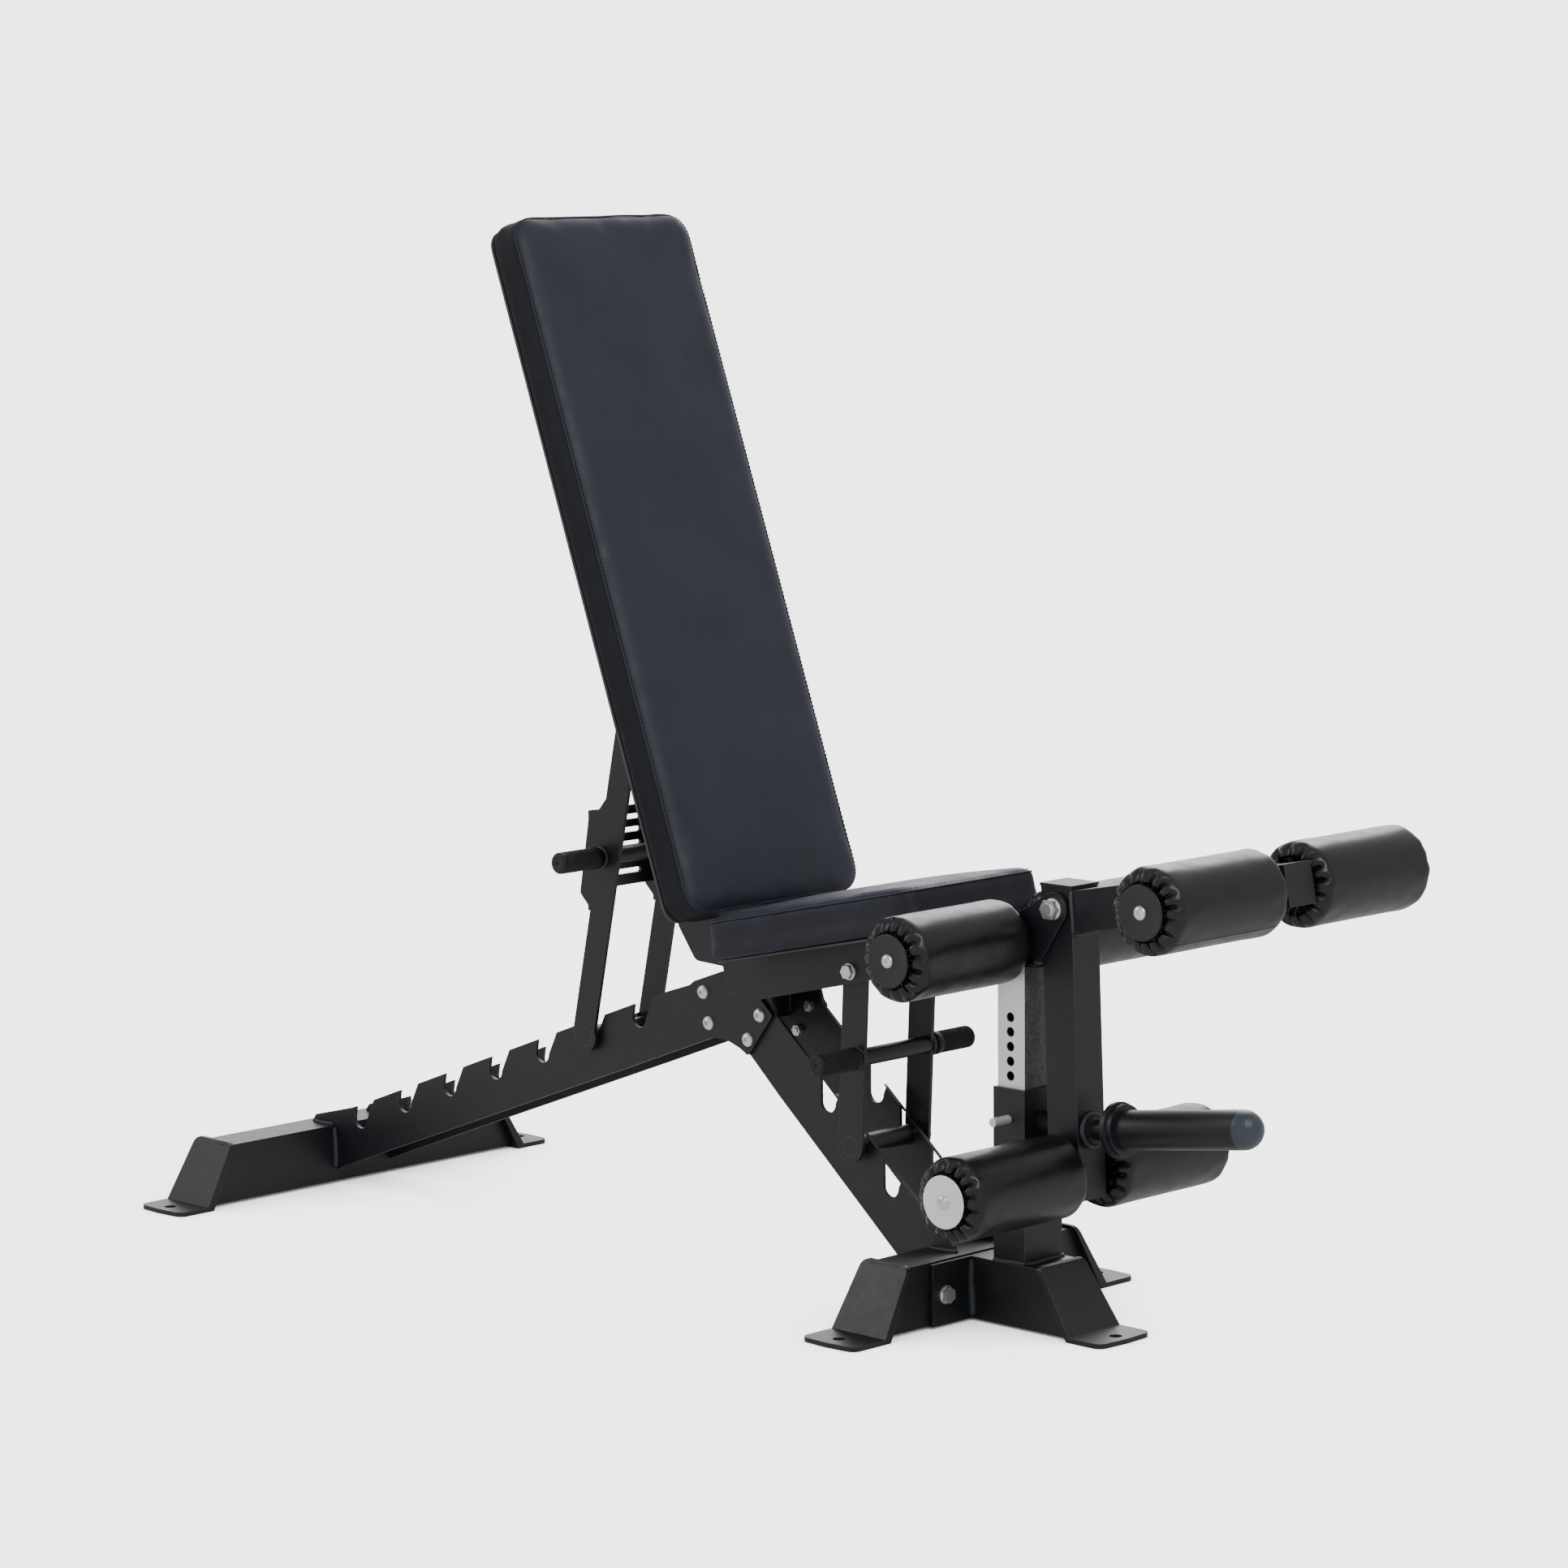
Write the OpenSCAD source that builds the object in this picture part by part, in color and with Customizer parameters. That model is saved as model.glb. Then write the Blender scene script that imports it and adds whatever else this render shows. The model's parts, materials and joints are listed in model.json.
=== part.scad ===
// Adjustable weight bench with a leg attachment. Millimetres, +Z up.
// Origin: middle of the footprint on the floor, +X towards the leg attachment.

/* [Pads] */
// Backrest angle behind the vertical in the stored pose
back_lean = 20.1; // [15:0.1:30]
// Seat angle above the horizontal in the stored pose
seat_rise = 12.3; // [0:0.1:25]
// Top end of the backrest pad, measured from the pivot
back_len = 957; // [850:1:1000]
// Half width of the backrest pad
back_half = 157; // [120:1:170]
// Front end of the seat pad, measured from the pivot
seat_len = 362; // [320:1:365]
// Half width of the seat pad at its rear end
seat_half = 150; // [120:1:160]
// Half width of the seat pad at its front end
seat_nose = 124; // [90:1:150]

/* [Steelwork] */
// Width of the floor tubes
tube_w = 60; // [50:1:70]
// Height of the floor tubes
tube_h = 78; // [60:1:80]
// Wall of the steel tubes
wall = 3; // [2:0.5:4]
// Number of notches in the rear ladder
notch_count = 7; // [5:1:7]
// Pitch of the ladder notches along the bench
notch_run = 92.8; // [80:0.1:95]
// Rise from one ladder notch to the next
notch_rise = 34.9; // [30:0.1:40]
// Diameter of the pivot shaft
shaft_d = 20; // [16:1:24]

/* [Leg attachment] */
// Radius of the foam rollers
roller_r = 51.5; // [40:1:52]
// Outer radius of the weight horn sleeve
horn_r = 24; // [12:0.5:25]
// Side of the square arm tube
arm_w = 48; // [40:1:50]

/* [Hidden] */
$fn = 48;
xm = 859;
P = [868, 430];
Q = [679, 744];
S = [1072, 416];
rear_bar = [580, 272.3];
seat_bar = [1060.4, 193.5];
K = [1368, 520];
thigh = [1293.8, 474.8];
low = [1380, 199];
fore = [1681.3, 573];
arm_tilt = 2.1;
horn_tilt = 7.9;
// Side view places of the bolts that join the ladder plates to the leg plates.
joint_points = [[792, 354.6], [801.5, 315.8], [893, 336.9], [871.8, 303]];
joint_hole_r = 4.1;
// Distance of the extension's two bolts from the middle, and their height.
extension_bolt_y = 86;
extension_bolt_z = 40;
// Running clearance between a round bar and its hole.
fit = 0.05;
rod_r = 12.5;
handle_r = 11;
rear_handle = [616, 512];
seat_handle = [1076, 307];
horn_root = [1403, 252];
pin_at = [1298, 256];
hole_pitch = 18;
black = [0.09, 0.09, 0.1];
zinc = [0.72, 0.72, 0.7];
bright = [0.8, 0.81, 0.82];
vinyl = [0.1, 0.11, 0.14];
rubber = [0.06, 0.06, 0.06];

// A rounded corner of radius r at b between a and c, in n steps.
function unit(v) = v / norm(v);
function turn(a) = a > 180 ? a - 360 : a < -180 ? a + 360 : a;
function bend(a, b, c, r, n) =
    let (u = unit(a - b))
    let (w = unit(c - b))
    let (half = acos(u * w) / 2)
    let (o = b + unit(u + w) * r / sin(half))
    let (p = b + u * r / tan(half) - o)
    let (q = b + w * r / tan(half) - o)
    let (a0 = atan2(p.y, p.x))
    let (da = turn(atan2(q.y, q.x) - a0))
    [for (k = [0:n]) o + r * [cos(a0 + da * k / n), sin(a0 + da * k / n)]];
function flat(p) = [p[0], p[1]];
function round_one(a, b, c, n) = b[2] > 0 ? bend(flat(a), flat(b), flat(c), b[2], n) : [flat(b)];
// Outline of [x, y, corner radius] rows with its corners rounded.
function soft(p, n = 5) =
    let (m = len(p))
    [for (i = [0:m - 1]) each round_one(p[(i + m - 1) % m], p[i], p[(i + 1) % m], n)];
// X of the arm's front face at height z.
function face_x(z) = 1390.3 + (551.5 - z) * tan(arm_tilt);

module world() translate([-xm, 0, 0]) children();
// Side view outline (X, Z) made into a plate from y0 to y1.
module plate(y0, y1) translate([0, y1, 0]) rotate([90, 0, 0]) linear_extrude(y1 - y0) children();
// Front view outline (Y, Z) made into a bar from x0 to x1.
module bar_x(x0, x1) translate([x0, 0, 0]) rotate([90, 0, 90]) linear_extrude(x1 - x0) children();
// The same piece on the near and the far side.
module both() {
    children();
    mirror([0, 1, 0]) children();
}
// A round bar across the bench at side view point c.
module rod(c, r, y0, y1) translate([c[0], y1, c[1]]) rotate([90, 0, 0]) cylinder(r = r, h = y1 - y0);
module back_pose() translate([P.x, 0, P.y]) rotate([0, -back_lean, 0]) children();
module seat_pose() translate([P.x, 0, P.y]) rotate([0, -seat_rise, 0]) children();
module box(a, b) translate(a) cube(b - a);

// A pressed foot: slanted end plate (top at y0, bottom at y1) and floor flange out to y2.
module foot(xc, y0, y1, y2, top, w0, w1, hole) {
    difference() {
        intersection() {
            bar_x(xc - 60, xc + 60)
                polygon([[y0 - 6, top], [y0, top], [y1 + 4, 6], [y2, 6], [y2, 0], [y1 - 6, 0]]);
            plate(-400, 400) polygon(soft([
                [xc - w0 / 2, top, 10], [xc + w0 / 2, top, 10],
                [xc + w1 / 2, 6, 0], [xc + w1 / 2, 0, 0], [xc - w1 / 2, 0, 0], [xc - w1 / 2, 6, 0]]));
            linear_extrude(100) polygon(soft([
                [xc - w1 / 2 - 1, 0, 0], [xc + w1 / 2 + 1, 0, 0],
                [xc + w1 / 2, y2 - 3, 12], [xc, y2, 60], [xc - w1 / 2, y2 - 3, 12]]));
        }
        translate([xc, hole, -1]) cylinder(r = 8, h = 12);
    }
}
// A floor tube with its ends cut to the slant of the feet.
module floor_tube(xc, y0, y1, top) {
    slope = (y1 - y0) / top;
    yt = y0 - 6 + (top - 4 - tube_h) * slope;
    yb = y0 - 6 + (top - 4) * slope;
    difference() {
        bar_x(xc - tube_w / 2, xc + tube_w / 2)
            polygon([[-yt, 4 + tube_h], [yt, 4 + tube_h], [yb, 4], [-yb, 4]]);
        box([xc - tube_w / 2 + wall, -400, 4 + wall], [xc + tube_w / 2 - wall, 400, 4 + tube_h - wall]);
    }
}
// Dome headed socket screw seated on a plate face at y, shank towards the middle.
module button_bolt(c, y, shank) {
    translate([c[0], y, c[1]]) rotate([-90, 0, 0]) difference() {
        union() {
            rotate_extrude() polygon([[0, 0], [9.2, 0], [8.8, 2.2], [7, 4.2], [4, 5.4], [0, 5.4]]);
            translate([0, 0, -shank]) cylinder(r = 4, h = shank);
        }
        translate([0, 0, 2]) cylinder(r = 3, h = 6, $fn = 6);
    }
}
// Hexagon flange head, standing along +Z.
module hex_head(flange, across, h) {
    cylinder(r = flange, h = 2);
    cylinder(r = across / sqrt(3), h = h, $fn = 6);
}
// One ladder notch: round seat, upright left wall and leaning right wall.
module notch(i) {
    cx = 115.7 + notch_run * i;
    cz = 97.9 + notch_rise * i;
    translate([cx, cz]) circle(r = 13);
    polygon([[cx - 13, cz], [cx + 13, cz], [cx + 29.5, cz + 33],
        [cx - 8.5, cz + 20], [cx - 11, cz + 13]]);
}
module ladder_outline() {
    difference() {
        polygon(soft([
            [13, 82, 0], [61, 82, 0], [61, 20, 0], [631, 231, 60],
            [809, 298, 30], [833, 298, 20], [857, 290, 10],
            [871, 282, 4], [915, 339, 5], [860, 388, 8], [828, 386, 6],
            [775, 367, 5], [767, 361, 4], [724, 347, 8],
            [693, 335, 0], [107.2, 114.6, 3], [92, 110, 12], [20, 92, 8]], 3));
        for (i = [0:notch_count - 1]) notch(i);
    }
}
module bolt_holes() for (c = joint_points) translate(c) circle(r = joint_hole_r);
module leg_outline() {
    difference() {
        union() {
            polygon(soft([
                [871, 282, 8], [921, 237, 20], [1123.4, 64.6, 20],
                [1176.5, 19, 0], [1176.5, 82, 0], [1228, 82, 4],
                [1132.4, 157.3, 0], [1024.4, 248, 0], [915, 340, 12],
                [906, 366, 10], [893, 402, 0], [868, 430, 0],
                [844, 412, 0], [826, 384, 10], [775, 362, 6], [775, 305, 6], [850, 292, 8]], 3));
            translate(P) circle(r = 25);
        }
        translate(P) circle(r = shaft_d / 2 + fit);
        for (k = [0:2]) {
            c = [1007 + 53.4 * k, 239.5 - 46 * k];
            translate(c) circle(r = 13);
            polygon([
                [c.x - 13, c.y], [c.x + 13, c.y], [c.x + 17, c.y + 8.5],
                [c.x - 2, c.y + 26], [c.x - 13, c.y + 35]]);
        }
        bolt_holes();
    }
}

module rear_tube() color(black) world() floor_tube(31, 241, 284, 87);
module rear_feet() color(black) world() both() foot(31, 241, 284, 338, 87, 76, 88, 318);
module ladder_near() color(black) world() plate(-51, -46) difference() {
    ladder_outline();
    bolt_holes();
}
module ladder_far() color(black) world() plate(46, 51) difference() {
    ladder_outline();
    bolt_holes();
}
module leg_near() color(black) world() plate(-46, -41) leg_outline();
module leg_far() color(black) world() plate(41, 46) leg_outline();
module leg_web() color(black) world() box([850, -41, 320], [856, 41, 392]);
module joint_bolts() color(zinc) world() both() for (c = joint_points) button_bolt(c, 51, 18);
module joint_nuts() color(zinc) world() both() for (c = joint_points)
    translate([c[0], 41, c[1]]) rotate([90, 0, 0]) difference() {
        cylinder(r = 7.5, h = 6.5, $fn = 6);
        translate([0, 0, -1]) cylinder(r = joint_hole_r, h = 9);
    }
// Children turned to point along +X from both of the extension's bolt places at x.
module at_extension_bolts(x) both() translate([x, extension_bolt_y, extension_bolt_z])
    rotate([0, 90, 0]) children();
module front_tube() color(black) world() difference() {
    floor_tube(1206.5, 154, 198, 86);
    at_extension_bolts(1230) cylinder(r = 5.1, h = 20);
}
module front_feet() color(black) world() both() foot(1206.5, 154, 198, 259, 86, 76, 89, 235);
module extension_plate() color(black) world() difference() {
    box([1236.5, -109, 3], [1242.5, 109, 80]);
    at_extension_bolts(1230) cylinder(r = 5.1, h = 20);
}
module extension_bolts() color(zinc) world() at_extension_bolts(1242.5) {
    hex_head(11.5, 18, 8);
    translate([0, 0, -14]) cylinder(r = 5, h = 14.5);
}
module extension_tube() color(black) world() difference() {
    plate(-39.5, 39.5) polygon([[1242.5, 3], [1399.8, 3], [1348.4, 80], [1242.5, 80]]);
    plate(-36.5, 36.5) polygon([[1241, 6], [1410, 6], [1356, 77], [1241, 77]]);
}
module extension_foot() color(black) world() difference() {
    intersection() {
        plate(-60, 60) polygon([[1348.5, 80], [1351, 84], [1355, 82],
            [1406, 6], [1459, 6], [1459, 0], [1402, 0]]);
        bar_x(1300, 1500) polygon(soft([
            [-40, 84, 8], [40, 84, 8], [47, 7, 0], [47, 0, 0], [-47, 0, 0], [-47, 7, 0]]));
        linear_extrude(100) polygon(soft([
            [1330, -48, 0], [1456, -47, 12], [1459, 0, 60], [1456, 47, 12], [1330, 48, 0]]));
    }
    translate([1440, 0, -1]) cylinder(r = 8, h = 12);
}
module post() color(black) world() difference() {
    box([1274, -34, 80], [1324.5, 34, 294]);
    box([1277.25, -29.8, 70], [1321.25, 29.8, 300]);
    rod(pin_at, 5.6, -40, 0);
}
module bumper() color(rubber) world() translate([1324.5, 0, 252]) rotate([0, 90, 0]) rotate_extrude()
    polygon(soft([[0, 0, 0], [14, 0, 0], [14, 25.2, 5], [0, 25.2, 0]], 3));
module pivot_shaft() color(zinc) world() {
    rod(P, shaft_d / 2, -75, 75);
    both() translate([P.x, 73.6, P.y]) rotate([-90, 0, 0]) {
        cylinder(r = 14, h = 2.5);
        cylinder(r = 11, h = 9, $fn = 6);
    }
}
module pivot_spacers() color(black) world() both() difference() {
    rod(P, 15, 46, 61.6);
    rod(P, shaft_d / 2 + fit, 40, 70);
}

// Backrest, drawn with Z along the pad and X out of its face.
module back_pad() color(vinyl) world() back_pose() intersection() {
    rotate([90, 0, 90]) translate([0, 0, -22]) linear_extrude(60) polygon(soft([
        [-back_half, 33, 26], [back_half, 33, 26],
        [back_half, back_len, 30], [-back_half, back_len, 30]]));
    translate([0, 0, 20]) linear_extrude(940) polygon(soft([
        [-22, -back_half, 4], [19, -back_half, 16], [30.6, -back_half + 60, 0], [31, 0, 0],
        [30.6, back_half - 60, 0], [19, back_half, 16], [-22, back_half, 4]]));
    plate(-200, 200) polygon(soft([
        [-22, 33, 6], [24, 33, 20], [31, 120, 0], [31, 880, 0], [26, back_len, 14], [-22, back_len, 4]]));
}
module back_board() color(black) world() back_pose()
    rotate([90, 0, 90]) translate([0, 0, -26]) linear_extrude(3.8) polygon(soft([
        [4 - back_half, 38, 22], [back_half - 4, 38, 22],
        [back_half - 4, back_len - 4, 26], [4 - back_half, back_len - 4, 26]]));
module back_rails() color(black) world() both() back_pose() plate(62, 67) difference() {
    union() {
        polygon(soft([
            [-26.2, 34, 4], [-26.2, 880, 4], [-46, 880, 10],
            [-52, 470, 0], [-60, 440, 20], [-92, 372, 16],
            [-92, 340, 16], [-60, 290, 20], [-60, 130, 40], [-95, 46, 16],
            [-80, -5, 14], [-22, -29, 10], [0, 0, 0]]));
        circle(r = 25);
    }
    circle(r = shaft_d / 2 + fit);
    translate([-71, 359]) circle(r = 6.1);
}
module back_cross() color(black) world() back_pose() for (s = [100, 480, 800])
    box([-31, -62, s], [-26.2, 62, s + 40]);
module back_pins() color(zinc) world() both() back_pose() translate([-71, 0, 359]) {
    translate([0, 67, 0]) rotate([-90, 0, 0]) hex_head(10.5, 16, 8);
    translate([0, 61.4, 0]) rotate([-90, 0, 0]) cylinder(r = 6, h = 6);
}

// Seat, drawn with X along the pad and Z out of its face.
module seat_plan(w0, w1, s0, s1) polygon(soft([[s0, -w0, 20],
[s1, -w1, 26], [s1, w1, 26], [s0, w0, 20]]));
module seat_pad() color(vinyl) world() seat_pose() intersection() {
    translate([0, 0, -19.5]) linear_extrude(60) seat_plan(seat_half, seat_nose, 27, seat_len);
    bar_x(0, 400) polygon(soft([
        [-seat_half, -19.5, 4], [-seat_half, 26, 14], [-70, 37.5, 0], [70, 37.5, 0],
        [seat_half, 26, 14], [seat_half, -19.5, 4]]));
    plate(-200, 200) polygon(soft([
        [27, -19.5, 4], [27, 36, 25], [110, 38, 0], [310, 37, 0],
        [seat_len, 32, 14], [seat_len, -19.5, 4]]));
}
module seat_board() color(black) world() seat_pose() translate([0, 0, -22.5]) linear_extrude(2.8)
    seat_plan(seat_half - 4, seat_nose - 4, 31, seat_len - 4);
module seat_frame() color(black) world() both() plate(68, 73) difference() {
    union() {
        polygon(soft([
            [850, 396, 8], [859, 365, 8], [915, 362.4, 30],
            [1006, 384.5, 0], [1104, 408, 12], [1160, 469.6, 6],
            [905, 414, 0], [880, 430, 0], [850, 430, 0]]));
        translate(P) circle(r = 24);
    }
    translate(P) circle(r = shaft_d / 2 + fit);
    translate(S) circle(r = 6.1);
}
module seat_cross() color(black) world() seat_pose() for (s = [70, 240])
    box([s, -68, -27], [s + 32, 68, -22.6]);
module seat_bolts() color(zinc) world() both() translate([S.x, 0, S.y]) {
    translate([0, 73, 0]) rotate([-90, 0, 0]) hex_head(10.5, 16, 8);
    translate([0, 63.4, 0]) rotate([-90, 0, 0]) cylinder(r = 6, h = 10);
}

// A handle bar through both arms of a prop, and the rubber grip on its far end.
module handle(c) rod(c, handle_r, -136, 136);
module grip(c) difference() {
    rod(c, 14, 70, 138);
    rod(c, handle_r + fit, 60, 136.2);
}

// Rear prop: two arms, the bar that lies in the ladder, handle and cross plate.
module rear_prop_arms() color(black) world() both() plate(56, 61) difference() {
    union() {
        translate(rear_bar) translate([-3.5, 0]) rotate(-12.3)
            polygon([[-19, 0], [19, 0], [19, 482], [-19, 482]]);
        translate(rear_bar) circle(r = 20);
        translate(Q) circle(r = 20);
        polygon(soft([
            [590, 440, 0], [590, 447, 4], [575, 461, 6], [595, 572, 6],
            [612, 573, 4], [625, 588, 0], [628, 440, 0]]));
    }
    translate(Q) circle(r = 6.3);
    translate(rear_handle) circle(r = handle_r + fit);
    translate(rear_bar) circle(r = rod_r + fit);
}
module rear_prop_bar() color(bright) world() rod(rear_bar, rod_r, -61, 61);
module rear_prop_handle() color(black) world() handle(rear_handle);
module rear_prop_grips() color(rubber) world() both() grip(rear_handle);
module rear_prop_plate() color(black) world() difference() {
    box([587, -55.9, 466], [592, 55.9, 570]);
    for (z = [484, 502, 520, 538, 555]) translate([580, 0, z]) rotate([0, 90, 0]) {
        for (y = [-30, 30]) translate([0, y, 0]) cylinder(r = 3.5, h = 20);
        translate([-3.5, -30, 0]) cube([7, 60, 20]);
    }
}

// Seat prop.
module seat_prop_arms() color(black) world() both() plate(58, 63) difference() {
    union() {
        translate(seat_bar) rotate(-2.8) polygon([[-20, 0], [20, 0], [20, 222.8], [-20, 222.8]]);
        translate(seat_bar) circle(r = 20.5);
        translate(S) circle(r = 20.5);
    }
    translate(S) circle(r = 6.3);
    translate(seat_handle) circle(r = handle_r + fit);
    translate(seat_bar) circle(r = rod_r + fit);
}
module seat_prop_bar() color(bright) world() rod(seat_bar, rod_r, -63, 63);
module seat_prop_handle() color(black) world() handle(seat_handle);
module seat_prop_grips() color(rubber) world() both() grip(seat_handle);

// Leg attachment: sliding tube, head and the rod of the thigh rollers.
module inner_tube() color(bright) world() difference() {
    box([1277.55, -29.4, 140], [1320.95, 29.4, 446]);
    box([1280.05, -26.9, 139], [1318.45, 26.9, 447]);
    for (k = [-1:1]) rod([pin_at.x, pin_at.y + hole_pitch * k], 6, -40, 0);
    for (k = [0:4]) rod([pin_at.x, 308.5 + hole_pitch * k], 6, -40, 0);
}
module head_plate() color(black) world() box([1270, -36, 446], [1344, 36, 450]);
module head_brackets() color(black) world() both() plate(26, 31) difference() {
    union() {
        polygon(soft([
            [1272, 450, 3], [1331, 450, 12], [1350, 458, 14],
            [1386, 512, 0], [1368, 520, 0], [1357, 536.6, 0],
            [1284, 492, 14], [1270, 476, 10]], 4));
        translate(K) circle(r = 20);
    }
    translate(K) circle(r = 8.05);
    translate(thigh) circle(r = rod_r + fit);
}
module head_bolt() color(zinc) world() {
    rod(K, 8, -44, 42);
    translate([K.x, 31, K.y]) rotate([-90, 0, 0]) hex_head(14, 22, 10);
    difference() {
        translate([K.x, -31, K.y]) rotate([90, 0, 0]) hex_head(13, 22, 11);
        rod(K, 8.1, -50, -20);
    }
}
module roller_rod(c, y) rod(c, rod_r, -y, y);
module thigh_rod() color(bright) world() roller_rod(thigh, 237);
module end_disc(c, y) {
    rod(c, 32, y, y + 3);
    rod(c, 8.5, y + 3, y + 7);
}
module thigh_discs() color(black) world() both() end_disc(thigh, 237);
module roller(c, y0, y1) translate([c[0], y1, c[1]]) rotate([90, 0, 0]) rotate_extrude()
    polygon(soft([[12.8, 0, 0], [roller_r, 0, 17], [roller_r, y1 - y0, 17], [12.8, y1 - y0, 0]]));
module roller_thigh_near() color(vinyl) world() roller(thigh, -236, -36);
module roller_thigh_far() color(vinyl) world() roller(thigh, 36, 236);
module roller_low_near() color(vinyl) world() roller(low, -235, -29);
module roller_low_far() color(vinyl) world() roller(low, 29, 235);
module roller_fore_near() color(vinyl) world() roller(fore, -235, -29);
module roller_fore_far() color(vinyl) world() roller(fore, 29, 235);
module pull_pin() color(zinc) world() rod(pin_at, 5.5, -62, -30.2);

// Side outline of the leaning arm from z0 to z1, with its faces moved in by d.
module arm_outline(z0, z1, d) polygon([
    [face_x(z0) - d, z0], [face_x(z1) - d, z1],
    [face_x(z1) - arm_w + d, z1], [face_x(z0) - arm_w + d, z0]]);
module horn_pose() translate([horn_root.x, 0, horn_root.y]) rotate([0, 90 - horn_tilt, 0]) children();
module arm_tube() color(black) world() {
    difference() {
        plate(-arm_w / 2, arm_w / 2) arm_outline(168, 545, 0);
        plate(wall - arm_w / 2, arm_w / 2 - wall) arm_outline(160, 560, wall);
        rod(K, 8.05, -30, 30);
        rod(low, rod_r + fit, -30, 30);
    }
    intersection() {
        horn_pose() translate([0, 0, -8]) union() {
            cylinder(r = 12.5, h = 49);
            cylinder(r = 17, h = 14);
        }
        plate(-30, 30) polygon([[face_x(200) - 1, 200],
            [1500, 200], [1500, 320], [face_x(320) - 1, 320]]);
    }
}
module tube_caps() color(black) world() {
    translate([face_x(547) - arm_w / 2, 0, 545]) translate([-25, -25, 0]) cube([50, 50, 4]);
    plate(-24, 24) polygon([[1709.7, 606.4], [1719.4, 557.3], [1722.4, 557.9], [1712.7, 607]]);
}
module upper_tube() color(black) world() difference() {
    plate(-24, 24) polygon([
        [face_x(543) + fit, 543], [1709.7, 606.4], [1719.4, 557.3], [face_x(492) + fit, 492]]);
    plate(-21, 21) polygon([[1380, 537.1], [1716, 604.6], [1722, 561], [1380, 492.5]]);
    rod(fore, rod_r + fit, -30, 30);
}
module horn_flange() color(black) world() horn_pose() translate([0, 0, 41]) {
    cylinder(r = 34, h = 6);
    cylinder(r = 31, h = 14);
}
module horn_sleeve() color(bright) world() horn_pose() translate([0, 0, 55]) cylinder(r = horn_r, h = 181);
module horn_cap() color(rubber) world() horn_pose() translate([0, 0, 236]) rotate_extrude()
    polygon([for (a = [0:10:90]) horn_r * [cos(a), sin(a)], [0, 0]]);
module arm_rods() color(bright) world() {
    roller_rod(low, 236);
    roller_rod(fore, 236);
}
module arm_discs() color(black) world() both() {
    end_disc(low, 236);
    end_disc(fore, 236);
}

rear_tube();
rear_feet();
ladder_near();
ladder_far();
leg_near();
leg_far();
leg_web();
joint_bolts();
joint_nuts();
front_tube();
front_feet();
extension_plate();
extension_bolts();
extension_tube();
extension_foot();
post();
bumper();
pivot_shaft();
pivot_spacers();
back_pad();
back_board();
back_rails();
back_cross();
back_pins();
seat_pad();
seat_board();
seat_frame();
seat_cross();
seat_bolts();
rear_prop_arms();
rear_prop_bar();
rear_prop_handle();
rear_prop_grips();
rear_prop_plate();
seat_prop_arms();
seat_prop_bar();
seat_prop_handle();
seat_prop_grips();
inner_tube();
head_plate();
head_brackets();
head_bolt();
thigh_rod();
thigh_discs();
roller_thigh_near();
roller_thigh_far();
roller_low_near();
roller_low_far();
roller_fore_near();
roller_fore_far();
pull_pin();
arm_tube();
tube_caps();
upper_tube();
horn_flange();
horn_sleeve();
horn_cap();
arm_rods();
arm_discs();
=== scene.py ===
import json
import math

import bmesh
import bpy
import numpy as np
from mathutils import Matrix


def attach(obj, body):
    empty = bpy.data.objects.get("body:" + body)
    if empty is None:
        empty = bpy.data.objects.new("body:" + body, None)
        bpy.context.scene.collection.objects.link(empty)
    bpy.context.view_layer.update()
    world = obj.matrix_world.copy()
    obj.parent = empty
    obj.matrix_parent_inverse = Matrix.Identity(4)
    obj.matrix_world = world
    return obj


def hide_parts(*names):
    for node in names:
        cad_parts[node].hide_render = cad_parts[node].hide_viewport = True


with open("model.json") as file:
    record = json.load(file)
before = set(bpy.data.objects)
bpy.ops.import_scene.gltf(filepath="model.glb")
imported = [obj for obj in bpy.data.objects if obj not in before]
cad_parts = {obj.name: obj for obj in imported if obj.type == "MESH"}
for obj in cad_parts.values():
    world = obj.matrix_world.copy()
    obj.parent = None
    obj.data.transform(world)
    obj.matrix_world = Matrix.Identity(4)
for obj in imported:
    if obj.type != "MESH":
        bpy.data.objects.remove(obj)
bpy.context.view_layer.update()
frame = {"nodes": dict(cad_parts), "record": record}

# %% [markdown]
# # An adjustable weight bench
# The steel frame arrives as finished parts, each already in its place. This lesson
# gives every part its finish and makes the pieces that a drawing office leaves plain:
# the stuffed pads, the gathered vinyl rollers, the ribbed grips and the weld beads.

X_SHIFT = 0.859

# %% [markdown]
# ## The camera
# A long bench looks truest from far away through a long lens, which keeps its legs
# parallel. The camera is placed by its position and its three axes, which is more exact
# than a look-at target because the camera is rolled by half a degree.

# %% Camera
AZIMUTH = math.radians(44.60)
ELEVATION = math.radians(7.55)
ROLL = math.radians(-0.46)
CAMERA_PLACE = (4.3729, -4.3959, 1.4457)


def camera_axes(azimuth, elevation, roll):
    """Right, up and back: back points from the object to the camera, right is level,
    and right and up are then turned together by the roll."""
    back = np.array([
        math.sin(azimuth) * math.cos(elevation),
        -math.cos(azimuth) * math.cos(elevation),
        math.sin(elevation)])
    right = np.array([math.cos(azimuth), math.sin(azimuth), 0.0])
    up = np.cross(back, right)
    turned_right = right * math.cos(roll) + up * math.sin(roll)
    turned_up = up * math.cos(roll) - right * math.sin(roll)
    return turned_right, turned_up, back


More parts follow.
